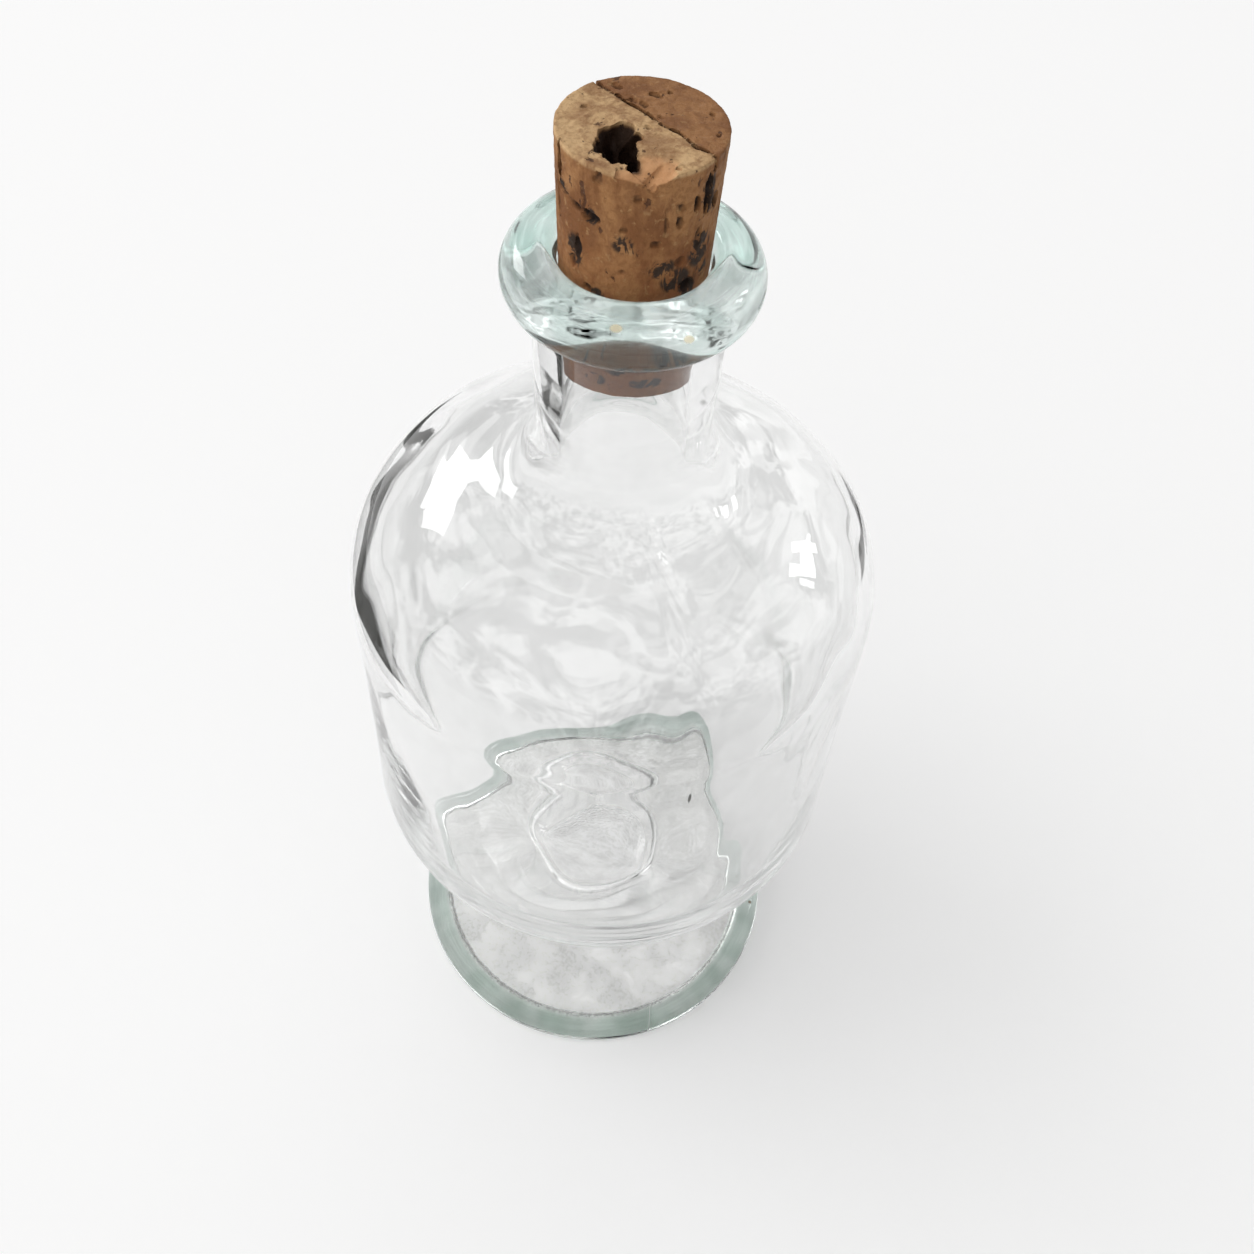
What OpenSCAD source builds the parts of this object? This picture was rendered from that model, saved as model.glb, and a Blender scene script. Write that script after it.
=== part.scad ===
// Thick, hand-finished clear glass bottle on a round foot, closed by a tapered natural cork.
// Millimetres, +Z up. The origin is the centre of the foot, on the surface that it stands on.

/* [Foot] */
// Outside diameter of the foot
foot_d = 80; // [74:0.5:96]
// Height of the rounded bead round the edge of the foot
bead_h = 4.6; // [4:0.1:7]
// Width of the bead, from the edge of the foot inwards
bead_w = 6.4; // [5:0.1:8]
// Width of the flat ring under the bead that touches the table
ring_w = 3.4; // [2:0.1:4]
// Height of the upper face of the thin web inside the bead
web_z = 3.4; // [2.8:0.1:3.8]
// Thickness of the web
web_t = 2.4; // [1.6:0.1:2.6]
// Radius of the hollow curve from the bead down to the web
bead_fillet = 2.5; // [1:0.1:4]
// Diameter of the waist between the foot and the body
waist_d = 36; // [33:0.5:44]
// Radius of the hollow curve from the web up to the waist
foot_sweep = 7; // [4:0.5:9]

/* [Body] */
// Diameter of the belly at its lower, widest end
belly_d = 88.6; // [80:0.2:104]
// Diameter of the belly just below the shoulder
upper_d = 87; // [80:0.2:104]
// Height of the belly's lower end above the table
belly_z = 68.2; // [64:0.2:80]
// Height of the straight side of the belly
belly_h = 53.3; // [30:0.1:90]
// Radius of the corner where the belly turns in to the bowl
bowl_corner = 12; // [8:0.5:18]
// Angle that this corner turns through before the bowl goes on
bowl_turn = 27; // [24:0.5:31]
// Radius of the long curve of the bowl, down to the waist
bowl_r = 240; // [180:10:400]
// The same long curve inside the glass
bowl_in_r = 150; // [110:5:200]
// Radius of the hollow curve from the bowl down to the waist
waist_fillet = 9; // [6:0.5:14]
// Thickness of the glass at the side of the belly
wall = 3; // [2:0.1:4.5]

/* [Shoulder] */
// Radius of the corner where the belly turns in to the shoulder
shoulder_corner = 19; // [14:0.5:24]
// Angle that this corner turns through before the flatter top goes on
shoulder_turn = 47.5; // [40:0.5:55]
// Radius of the flatter top of the shoulder
shoulder_r = 36; // [32:0.5:44]
// The same curve inside the glass
shoulder_in_r = 29; // [26:0.5:31]
// Radius of the hollow curve from the shoulder up to the neck
neck_fillet = 11; // [7:0.5:14]
// Radius of the curve inside, where the bore opens into the shoulder
bore_fillet = 14; // [8:0.5:18]

/* [Neck and lip] */
// Outside diameter of the neck
neck_d = 26.4; // [24.6:0.1:29]
// Height of the top of the lip above the straight side of the belly
neck_rise = 63.9; // [58:0.1:80]
// Outside diameter of the rolled lip
lip_d = 34.6; // [33:0.1:40]
// Height of the lip, whose outer side is round
lip_h = 8.2; // [6:0.1:9]
// Radius of its inner edge, above the mouth of the bore
lip_edge = 2.4; // [1:0.1:3]
// Radius of the small hollow curve between the neck and the lip
lip_fillet = 1; // [0.5:0.1:2]
// Diameter of the bore at its mouth, under the lip's inner edge
bore_d = 19.6; // [18:0.1:20.4]
// Slope of the bore and the cork against the axis, in degrees
taper = 2; // [1:0.1:2.5]
// Length of the tapered part of the bore
taper_len = 19; // [16:0.5:22]

/* [Inside floor and underside] */
// Radius of the corner inside the belly, above the bowl
corner_in = 14; // [9:0.5:18]
// How much higher that corner lies than the one outside
corner_lift = 5; // [0:0.5:8]
// Radius of the round bottom of the inside
floor_r = 24; // [18:0.5:30]
// Depth of the shallow hollow under the middle of the foot, above the web
hollow_h = 3; // [1:0.5:8]
// Diameter of that hollow
hollow_d = 44; // [30:1:52]

/* [Cork] */
// Length of the cork
cork_len = 32.6; // [27:0.2:35]
// Length of the cork above the mouth of the bore
cork_out = 18.8; // [14:0.2:22]
// Gap between the cork and the bore, all round
cork_gap = 0.05; // [0.02:0.01:0.1]
// Bevel round both ends of the cork
cork_bevel = 0.5; // [0.2:0.1:1]

/* [Cork damage] */
// Depth of the broken hole in the top
hole_depth = 8; // [4:0.5:12]
// Distance of the middle of the hole from the rim of the top
hole_inset = 5.2; // [4.8:0.1:7]
// Width of the shallow chip beside the hole
chip_d = 6.6; // [4:0.2:8]
// Distance of the middle of the chip from the rim of the top
chip_inset = 3.8; // [3.4:0.1:5]
// Depth of the chip
chip_depth = 0.8; // [0.4:0.1:1.5]
// Width of the straight split across the top
split_w = 0.4; // [0.2:0.05:0.8]
// Depth of the split
split_depth = 1.4; // [0.6:0.1:3]
// Distance of the split from the axis
split_offset = 1.8; // [0:0.1:4]
// Share of a pit's radius that stays outside the cork, so that the pit is shallower than a half ball
pit_lift = 0.25; // [0.15:0.05:0.5]

/* [Hidden] */
glass_colour = [0.86, 0.93, 0.91, 0.4];
cork_colour = [0.68, 0.45, 0.26];
round_steps = 120;
arc_steps = 8;
// Reach of a cut past the surface that it starts from
past = 1;

// Radii and heights that follow from the sizes above
foot_r = foot_d / 2;
waist_r = waist_d / 2;
neck_r = neck_d / 2;
bore_r = bore_d / 2;
shoulder_z = belly_z + belly_h;
top_z = shoulder_z + neck_rise;
lip_r = lip_h / 2;
mouth_z = top_z - lip_edge;
cork_top = mouth_z + cork_out;
cork_bottom = cork_top - cork_len;

// Radius of the bore, and of the cork in it, at height z
function bore_at(z) = bore_r + (z - mouth_z) * tan(taper);
function cork_at(z) = bore_at(z) - cork_gap;

// The way that angle a points, and the angle of a direction v
function way(a) = [cos(a), sin(a)];
function angle_of(v) = atan2(v[1], v[0]);
// Points of an arc about c with radius r, from angle a to angle b; "on" leaves out the first,
// where the arc goes straight on from another
function arc(c, r, a, b, first = 0) =
    [for (i = [first : arc_steps]) c + r * way(a + (b - a) * i / arc_steps)];
function on(c, r, a, b) = arc(c, r, a, b, 1);
// Height at which a circle centred on the line x lies at distance d above or below the point c
function above(c, x, d) = c[1] + sqrt(d * d - pow(x - c[0], 2));
function below(c, x, d) = c[1] - sqrt(d * d - pow(x - c[0], 2));
// Centre of an arc with radius r2 that goes on from the arc about c, radius r, at angle a
function next(c, r, a, r2) = c + (r - r2) * way(a);

// Centres of the arcs in the outside of the bottle
bead_foot = (bead_w - ring_w) / 2;
bead_top = bead_h - bead_foot;
bead_c = [foot_r - bead_top, bead_foot];
bead_dip = web_z + bead_fillet - bead_foot;
bead_fillet_c = bead_c + [-sqrt(pow(bead_top + bead_fillet, 2) - pow(bead_dip, 2)), bead_dip];
sweep_c = [waist_r + foot_sweep, web_z + foot_sweep];
corner_c = [belly_d / 2 - bowl_corner, belly_z];
bowl_c = next(corner_c, bowl_corner, -bowl_turn, bowl_r);
waist_x = waist_r + waist_fillet;
waist_c = [waist_x, below(bowl_c, waist_x, bowl_r + waist_fillet)];
shoulder_c = [upper_d / 2 - shoulder_corner, shoulder_z];
crown_c = next(shoulder_c, shoulder_corner, shoulder_turn, shoulder_r);
neck_x = neck_r + neck_fillet;
neck_c = [neck_x, above(crown_c, neck_x, shoulder_r + neck_fillet)];
lip_c = [lip_d / 2 - lip_r, top_z - lip_r];
under_x = neck_r + lip_fillet;
under_c = [under_x, below(lip_c, under_x, lip_r + lip_fillet)];

// Centres of the arcs in its inside
bore_end = mouth_z - taper_len;
flare_x = bore_at(bore_end) + bore_fillet;
crown_in_c = next(shoulder_c, shoulder_corner - wall, shoulder_turn, shoulder_in_r);
flare_c = [flare_x, above(crown_in_c, flare_x, shoulder_in_r + bore_fillet)];
corner_in_c = [belly_d / 2 - wall - corner_in, belly_z + corner_lift];
bowl_in_c = next(corner_in_c, corner_in, -bowl_turn, bowl_in_r);
floor_c = [0, below(bowl_in_c, 0, bowl_in_r - floor_r)];

// The standing ring, and the hollow inside it
ring_out = foot_r - bead_foot;
ring_in = ring_out - ring_w;
web_under = web_z - web_t;
hollow_r = (pow(hollow_d / 2, 2) + pow(hollow_h, 2)) / (2 * hollow_h);
hollow_c = [0, web_under + hollow_h - hollow_r];
hollow_edge = asin((hollow_r - hollow_h) / hollow_r);

// Outline from the top of the hollow, under the foot and up the outside to the mouth
outside = concat(
    arc(hollow_c, hollow_r, 90, hollow_edge),
    arc([ring_in - web_under, 0], web_under, 90, 0),
    arc([ring_out, bead_foot], bead_foot, 270, 360),
    on(bead_c, bead_top, 0, angle_of(bead_fillet_c - bead_c)),
    on(bead_fillet_c, bead_fillet, angle_of(bead_c - bead_fillet_c), -90),
    arc(sweep_c, foot_sweep, 270, 180),
    arc(waist_c, waist_fillet, 180, angle_of(bowl_c - waist_c)),
    on(bowl_c, bowl_r, angle_of(waist_c - bowl_c), -bowl_turn),
    on(corner_c, bowl_corner, -bowl_turn, 0),
    arc(shoulder_c, shoulder_corner, 0, shoulder_turn),
    on(crown_c, shoulder_r, shoulder_turn, angle_of(neck_c - crown_c)),
    on(neck_c, neck_fillet, 360 + angle_of(crown_c - neck_c), 180),
    arc(under_c, lip_fillet, 180, angle_of(lip_c - under_c)),
    on(lip_c, lip_r, angle_of(under_c - lip_c), 90),
    arc([bore_r + lip_edge, mouth_z], lip_edge, 90, 180)
);

// Outline from the mouth down the inside to the middle of its floor
inside = concat(
    [[bore_at(bore_end), bore_end]],
    arc(flare_c, bore_fillet, 180, 360 + angle_of(crown_in_c - flare_c)),
    on(crown_in_c, shoulder_in_r, angle_of(flare_c - crown_in_c), shoulder_turn),
    on(shoulder_c, shoulder_corner - wall, shoulder_turn, 0),
    arc(corner_in_c, corner_in, 0, -bowl_turn),
    on(bowl_in_c, bowl_in_r, -bowl_turn, angle_of(floor_c - bowl_in_c)),
    on(floor_c, floor_r, angle_of(floor_c - bowl_in_c), -90)
);

// Corners of the broken hole in the cork, from its middle, the rim of the top being at -Y
hole_outline = [
    [-2.8, 2.6], [-1.2, 4.4], [0.1, 5.2], [1.6, 3.6], [2.7, 2.4], [2.5, 0],
    [2.3, -2.4], [1.9, -4.1], [0.4, -3.9], [-1.1, -3.1], [-2.5, -1.3], [-2.2, 0.6]
];
hole_x = -2.6;
hole_c = [hole_x, inset_y(hole_x, hole_inset)];
chip_x = 2.4;
chip_c = [chip_x, inset_y(chip_x, chip_inset)];
split_angle = -43.5;

// Pits in the top of the cork: distance from the axis, angle, radius
top_pits = [
    [8.3, 114, 0.55], [6.3, 78, 0.6], [4.8, 105, 0.5], [4.1, 89, 0.45], [0.9, -38, 0.4],
    [7.5, 66, 0.4], [7.3, -32, 0.5], [8.6, 20, 0.45], [7.4, 158, 0.4]
];
// Pits in its side: angle, depth below the top, radius
side_pits = [
    [-153, 0.4, 0.8], [-151, 2, 0.7], [-158, 7.2, 0.5], [-137, 6.4, 0.5], [-120, 6.8, 0.9],
    [-117, 1.4, 0.5], [-81, 1.8, 0.4], [-90, 3.1, 0.45], [-60, 4.8, 0.6], [-60, 6.9, 0.55],
    [-98, 7.6, 0.4], [-76, 9.4, 0.5], [-42, 3.6, 0.7], [-40, 5.2, 0.7], [-72, 13, 0.8],
    [-50, 12, 0.5], [-47, 16.6, 0.8], [-33, 15, 0.7], [-125, 10.4, 0.4], [-136, 14.2, 0.6],
    [-93, 12.9, 0.4], [-124, 17.4, 0.5], [-12, 9, 0.6], [8, 3.5, 0.7], [27, 14, 0.6],
    [41, 7, 0.8], [66, 2.6, 0.5], [78, 11.5, 0.7], [97, 6, 0.6], [118, 16, 0.8],
    [129, 4, 0.7], [148, 10, 0.6], [166, 2.4, 0.6], [175, 15, 0.7]
];

// Distance from the axis, towards -Y, of a place that lies "inset" inside the rim of the top at x
function inset_y(x, inset) = inset - sqrt(pow(cork_at(cork_top), 2) - x * x);

// One piece of glass: foot, waist, belly, shoulder, neck and lip
module bottle()
    color(glass_colour)
        rotate_extrude($fn = round_steps)
            polygon(concat(outside, inside));

// Tapered cork without its damage
module plug()
    rotate_extrude($fn = round_steps)
        polygon([
            [0, cork_bottom],
            [cork_at(cork_bottom) - cork_bevel, cork_bottom],
            [cork_at(cork_bottom + cork_bevel), cork_bottom + cork_bevel],
            [cork_at(cork_top - cork_bevel), cork_top - cork_bevel],
            [cork_at(cork_top) - cork_bevel, cork_top],
            [0, cork_top]
        ]);

// Ragged hole that narrows below its middle
module hole()
    for (step = [[1, 0.55], [0.7, 1]])
        translate([hole_c[0], hole_c[1], cork_top - hole_depth * step[1]])
            linear_extrude(hole_depth * step[1] + past)
                scale(step[0])
                    polygon(hole_outline);

// Shallow dish where a flake has come off
module chip() {
    chip_r = (pow(chip_d / 2, 2) + pow(chip_depth, 2)) / (2 * chip_depth);
    translate([chip_c[0], chip_c[1], cork_top + chip_r - chip_depth])
        sphere(r = chip_r, $fn = 64);
}

// Straight split across the whole top
module split()
    rotate(split_angle)
        translate([-cork_at(cork_top) - past, split_offset - split_w / 2, cork_top - split_depth])
            cube([2 * (cork_at(cork_top) + past), split_w, split_depth + past]);

module pits() {
    for (p = top_pits)
        translate([p[0] * cos(p[1]), p[0] * sin(p[1]), cork_top + pit_lift * p[2]])
            sphere(r = p[2], $fn = 24);
    for (p = side_pits)
        rotate(p[0])
            translate([cork_at(cork_top - p[1]) + pit_lift * p[2], 0, cork_top - p[1]])
                sphere(r = p[2], $fn = 24);
}

// Natural cork stopper, pushed part of the way into the bore
module cork()
    color(cork_colour)
        difference() {
            plug();
            hole();
            chip();
            split();
            pits();
        }

bottle();
cork();
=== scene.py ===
"""Clear glass bottle with a natural cork: its detailed pieces, finishes, studio and camera."""

import math
import random

import bpy
import numpy as np
from mathutils import Matrix, Vector, noise


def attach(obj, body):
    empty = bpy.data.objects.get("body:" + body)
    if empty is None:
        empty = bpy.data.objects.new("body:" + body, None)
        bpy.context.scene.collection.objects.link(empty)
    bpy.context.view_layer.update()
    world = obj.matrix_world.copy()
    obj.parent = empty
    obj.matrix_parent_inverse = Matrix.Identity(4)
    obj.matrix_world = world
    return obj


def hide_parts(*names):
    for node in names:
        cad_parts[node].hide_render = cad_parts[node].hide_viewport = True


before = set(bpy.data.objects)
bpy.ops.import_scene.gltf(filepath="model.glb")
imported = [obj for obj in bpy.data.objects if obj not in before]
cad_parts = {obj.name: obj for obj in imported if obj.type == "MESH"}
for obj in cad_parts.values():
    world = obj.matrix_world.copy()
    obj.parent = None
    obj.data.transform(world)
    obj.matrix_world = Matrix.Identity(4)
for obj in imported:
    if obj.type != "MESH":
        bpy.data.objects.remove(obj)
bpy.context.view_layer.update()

MM = 0.001

# Sizes of the bottle in millimetres, the same as in the part's source
FOOT_R = 40.0
BEAD_H = 4.6
BEAD_W = 6.4
RING_W = 3.4
WEB_Z = 3.4
WEB_T = 2.4
BEAD_FILLET = 2.5
WAIST_R = 18.0
FOOT_SWEEP = 7.0
BELLY_R = 44.3
UPPER_R = 43.5
BELLY_Z = 68.2
BELLY_H = 53.3
BOWL_CORNER = 12.0
BOWL_TURN = 27.0
BOWL_R = 240.0
BOWL_IN_R = 150.0
WAIST_FILLET = 9.0
WALL = 3.0
SHOULDER_CORNER = 19.0
SHOULDER_TURN = 47.5
SHOULDER_R = 36.0
SHOULDER_IN_R = 29.0
NECK_FILLET = 11.0
BORE_FILLET = 14.0
NECK_R = 13.2
NECK_RISE = 63.9
LIP_OUT_R = 17.3
LIP_H = 8.2
LIP_EDGE = 2.4
LIP_FILLET = 1.0
BORE_R = 9.8
TAPER = 2.0
TAPER_LEN = 19.0
CORNER_IN = 14.0
CORNER_LIFT = 5.0
FLOOR_R = 24.0
HOLLOW_H = 3.0
HOLLOW_R = 22.0

# Sizes of the cork
CORK_LEN = 32.6
CORK_OUT = 18.8
CORK_GAP = 0.05
CORK_BEVEL = 0.5
# How far the detailed cork stays inside the plain one
CORK_INSET = 0.05

# Heights that follow from them
SHOULDER_Z = BELLY_Z + BELLY_H
TOP_Z = SHOULDER_Z + NECK_RISE
MOUTH_Z = TOP_Z - LIP_EDGE
BORE_END = MOUTH_Z - TAPER_LEN
CORK_TOP = MOUTH_Z + CORK_OUT
CORK_BOTTOM = CORK_TOP - CORK_LEN

# How finely the outline is drawn and spun
OUTLINE_STEP = 1.6
OUTLINE_TURN = 9.0
SPIN_STEPS = 224

# The fold inside the front of the belly: its place in degrees, its lean, half width and depth
FOLD_TURN = -61.5
FOLD_LEAN = -0.10
FOLD_HALF_TURN = 4.0
FOLD_DEPTH = 0.3

# The share of the waves' height that the foot and the lip have
EDGE_SHARE = 0.12
INNER_EDGE_SHARE = 0.08

# How often light may turn inside the glass before it is given up
GLASS_BOUNCES = 48


def deselect_everything():
    bpy.ops.object.select_all(action="DESELECT")


def make_active(piece):
    deselect_everything()
    piece.select_set(True)
    bpy.context.view_layer.objects.active = piece


def edit(piece):
    make_active(piece)
    bpy.ops.object.mode_set(mode="EDIT")
    bpy.ops.mesh.select_mode(type="VERT")


def leave_edit():
    bpy.ops.object.mode_set(mode="OBJECT")


def finish_with(piece, kind, **settings):
    """Adds a modifier with these settings and applies it."""
    make_active(piece)
    modifier = piece.modifiers.new(kind.lower(), kind)
    for name, value in settings.items():
        setattr(modifier, name, value)
    bpy.ops.object.modifier_apply(modifier=modifier.name)


def settle_in_mesh(piece):
    """Puts the piece's place, turn and scale in its mesh."""
    make_active(piece)
    bpy.ops.object.transform_apply(location=True, rotation=True, scale=True)


# Points nearer to each other than this are merged
MERGE_REACH = 0.002


def close_shell(piece):
    """Merges the seam and the poles, and turns every face outwards."""
    edit(piece)
    bpy.ops.mesh.select_all(action="SELECT")
    bpy.ops.mesh.remove_doubles(threshold=MERGE_REACH * MM)
    bpy.ops.mesh.normals_make_consistent(inside=False)
    leave_edit()


def join(pieces, name):
    make_active(pieces[0])
    for piece in pieces[1:]:
        piece.select_set(True)
    bpy.ops.object.join()
    joined = bpy.context.object
    joined.name = name
    joined.data.name = name
    return joined


# Outline of the bottle

def way(degrees):
    return np.array((math.cos(math.radians(degrees)), math.sin(math.radians(degrees))))


def angle_of(v):
    return math.degrees(math.atan2(v[1], v[0]))


def arc(centre, radius, start, end):
    """Points of an arc, closer together where it is tight."""
    turn = abs(end - start)
    steps = max(math.ceil(turn / OUTLINE_TURN), math.ceil(math.radians(turn) * radius / OUTLINE_STEP), 2)
    return [np.array(centre) + radius * way(start + (end - start) * i / steps) for i in range(steps + 1)]


def above(centre, x, distance):
    return centre[1] + math.sqrt(distance ** 2 - (x - centre[0]) ** 2)


def below(centre, x, distance):
    return centre[1] - math.sqrt(distance ** 2 - (x - centre[0]) ** 2)


def going_on(centre, radius, angle, next_radius):
    return np.array(centre) + (radius - next_radius) * way(angle)


def bore_at(z):
    return BORE_R + (z - MOUTH_Z) * math.tan(math.radians(TAPER))


def close_gaps(points):
    """The same outline with more points along its straight parts and none twice."""
    full = [points[0]]
    for point in points[1:]:
        run = np.linalg.norm(point - full[-1])
        if run < 0.02:
            continue
        parts = math.ceil(run / (1.3 * OUTLINE_STEP))
        start = full[-1]
        full += [start + (point - start) * i / parts for i in range(1, parts + 1)]
    return full


def outside_outline():
    """From the top of the hollow under the foot, round the outside, to the mouth."""
    bead_foot = (BEAD_W - RING_W) / 2
    bead_top = BEAD_H - bead_foot
    bead_c = np.array((FOOT_R - bead_top, bead_foot))
    dip = WEB_Z + BEAD_FILLET - bead_foot
    bead_fillet_c = bead_c + np.array((-math.sqrt((bead_top + BEAD_FILLET) ** 2 - dip ** 2), dip))
    sweep_c = np.array((WAIST_R + FOOT_SWEEP, WEB_Z + FOOT_SWEEP))
    corner_c = np.array((BELLY_R - BOWL_CORNER, BELLY_Z))
    bowl_c = going_on(corner_c, BOWL_CORNER, -BOWL_TURN, BOWL_R)
    waist_x = WAIST_R + WAIST_FILLET
    waist_c = np.array((waist_x, below(bowl_c, waist_x, BOWL_R + WAIST_FILLET)))
    shoulder_c = np.array((UPPER_R - SHOULDER_CORNER, SHOULDER_Z))
    crown_c = going_on(shoulder_c, SHOULDER_CORNER, SHOULDER_TURN, SHOULDER_R)
    neck_x = NECK_R + NECK_FILLET
    neck_c = np.array((neck_x, above(crown_c, neck_x, SHOULDER_R + NECK_FILLET)))
    lip_r = LIP_H / 2
    lip_c = np.array((LIP_OUT_R - lip_r, TOP_Z - lip_r))
    under_x = NECK_R + LIP_FILLET
    under_c = np.array((under_x, below(lip_c, under_x, lip_r + LIP_FILLET)))
    ring_out = FOOT_R - bead_foot
    ring_in = ring_out - RING_W
    web_under = WEB_Z - WEB_T
    hollow_r = (HOLLOW_R ** 2 + HOLLOW_H ** 2) / (2 * HOLLOW_H)
    hollow_c = np.array((0.0, web_under + HOLLOW_H - hollow_r))
    hollow_edge = math.degrees(math.asin((hollow_r - HOLLOW_H) / hollow_r))
    return close_gaps(
        arc(hollow_c, hollow_r, 90, hollow_edge)
        + arc((ring_in - web_under, 0), web_under, 90, 0)
        + arc((ring_out, bead_foot), bead_foot, 270, 360)
        + arc(bead_c, bead_top, 0, angle_of(bead_fillet_c - bead_c))
        + arc(bead_fillet_c, BEAD_FILLET, angle_of(bead_c - bead_fillet_c), -90)
        + arc(sweep_c, FOOT_SWEEP, 270, 180)
        + arc(waist_c, WAIST_FILLET, 180, angle_of(bowl_c - waist_c))
        + arc(bowl_c, BOWL_R, angle_of(waist_c - bowl_c), -BOWL_TURN)
        + arc(corner_c, BOWL_CORNER, -BOWL_TURN, 0)
        + arc(shoulder_c, SHOULDER_CORNER, 0, SHOULDER_TURN)
        + arc(crown_c, SHOULDER_R, SHOULDER_TURN, angle_of(neck_c - crown_c))
        + arc(neck_c, NECK_FILLET, 360 + angle_of(crown_c - neck_c), 180)
        + arc(under_c, LIP_FILLET, 180, angle_of(lip_c - under_c))
        + arc(lip_c, lip_r, angle_of(under_c - lip_c), 90)
        + arc((BORE_R + LIP_EDGE, MOUTH_Z), LIP_EDGE, 90, 180)
    )


def inside_outline():
    """From the mouth down the bore and the wall to the middle of the inside floor."""
    shoulder_c = np.array((UPPER_R - SHOULDER_CORNER, SHOULDER_Z))
    corner_r = SHOULDER_CORNER - WALL
    flare_x = bore_at(BORE_END) + BORE_FILLET
    crown_c = going_on(shoulder_c, corner_r, SHOULDER_TURN, SHOULDER_IN_R)
    flare_c = np.array((flare_x, above(crown_c, flare_x, SHOULDER_IN_R + BORE_FILLET)))
    corner_c = np.array((BELLY_R - WALL - CORNER_IN, BELLY_Z + CORNER_LIFT))
    bowl_c = going_on(corner_c, CORNER_IN, -BOWL_TURN, BOWL_IN_R)
    floor_c = np.array((0.0, below(bowl_c, 0, BOWL_IN_R - FLOOR_R)))
    return close_gaps(
        [np.array((BORE_R, MOUTH_Z)), np.array((bore_at(BORE_END), BORE_END))]
        + arc(flare_c, BORE_FILLET, 180, 360 + angle_of(crown_c - flare_c))
        + arc(crown_c, SHOULDER_IN_R, angle_of(flare_c - crown_c), SHOULDER_TURN)
        + arc(shoulder_c, corner_r, SHOULDER_TURN, 0)
        + arc(corner_c, CORNER_IN, 0, -BOWL_TURN)
        + arc(bowl_c, BOWL_IN_R, -BOWL_TURN, angle_of(floor_c - bowl_c))
        + arc(floor_c, FLOOR_R, angle_of(floor_c - bowl_c), -90)
    )


def draw_outline(name, points):
    """An edge chain in the XZ plane: a tiny plane drawn together to one corner, then extruded along."""
    start = Vector((points[0][0], 0, points[0][1])) * MM
    bpy.ops.mesh.primitive_plane_add(size=1 * MM, location=start)
    piece = bpy.context.object
    piece.name = name
    piece.data.name = name
    settle_in_mesh(piece)
    edit(piece)
    bpy.ops.mesh.select_all(action="SELECT")
    bpy.ops.mesh.merge(type="CENTER")
    for before, after in zip(points, points[1:]):
        step = ((after[0] - before[0]) * MM, 0, (after[1] - before[1]) * MM)
        bpy.ops.mesh.extrude_region_move(TRANSFORM_OT_translate={"value": step})
    leave_edit()
    return piece


def spin_round(piece):
    """Spins the edge chain once round the Z axis."""
    edit(piece)
    bpy.ops.mesh.select_all(action="SELECT")
    bpy.ops.mesh.spin(steps=SPIN_STEPS, angle=2 * math.pi, center=(0, 0, 0), axis=(0, 0, 1))
    leave_edit()


# Unevenness of the blown glass

def cloud_texture(name, size, depth=1):
    texture = bpy.data.textures.new(name, "CLOUDS")
    texture.noise_scale = size * MM
    texture.noise_depth = depth
    texture.noise_basis = "ORIGINAL_PERLIN"
    return texture


def weigh(piece, name, weight_at):
    """A vertex group; weight_at takes radius and height, in millimetres, and the turn, in degrees."""
    group = piece.vertex_groups.new(name=name)
    for vertex in piece.data.vertices:
        x, y, z = vertex.co / MM
        weight = weight_at(math.hypot(x, y), z, math.degrees(math.atan2(y, x)))
        if weight > 0:
            group.add([vertex.index], weight, "REPLACE")


def smooth_step(low, high, value):
    t = min(1.0, max(0.0, (value - low) / (high - low)))
    return t * t * (3 - 2 * t)


def wave(piece, group, size, height, middle, stretch, shift):
    """Soft waves of that size and height along the normals, drawn out along the axes by stretch."""
    bpy.ops.object.empty_add(location=[s * MM for s in shift])
    guide = bpy.context.object
    guide.scale = stretch
    bpy.context.view_layer.update()
    texture = cloud_texture(group, size)
    finish_with(
        piece, "DISPLACE", texture=texture, texture_coords="OBJECT", texture_coords_object=guide,
        vertex_group=group, strength=height * MM, mid_level=middle, direction="NORMAL",
    )
    bpy.data.objects.remove(guide)
    bpy.data.textures.remove(texture)


def outer_unevenness(radius, z, _turn):
    """Nothing on the standing ring and at the mouth, a little on the foot and lip, all on the body."""
    if radius < LIP_OUT_R + 0.7 and z > TOP_Z - LIP_H - 6:
        return EDGE_SHARE * smooth_step(BORE_R + 0.5, BORE_R + 4, radius)
    on_body = smooth_step(50, 98, z) * smooth_step(176, 150, z)
    return EDGE_SHARE * smooth_step(0.2, 2, z) + (1 - EDGE_SHARE) * on_body


def inner_unevenness(_radius, z, _turn):
    """A little in the bowl, all in the belly, nothing in the bore."""
    share = INNER_EDGE_SHARE + (1 - INNER_EDGE_SHARE) * smooth_step(66, 108, z)
    return share * smooth_step(BORE_END - 2, BORE_END - 26, z)


def upright_fold(_radius, z, turn):
    """A narrow upright fold down the front of the belly, a little to the right of its middle."""
    middle = FOLD_TURN + FOLD_LEAN * (z - BELLY_Z) + 1.2 * math.sin(z / 5)
    across = (turn - middle) / FOLD_HALF_TURN
    return math.exp(-across * across) * smooth_step(84, 104, z) * smooth_step(153, 140, z)


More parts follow.
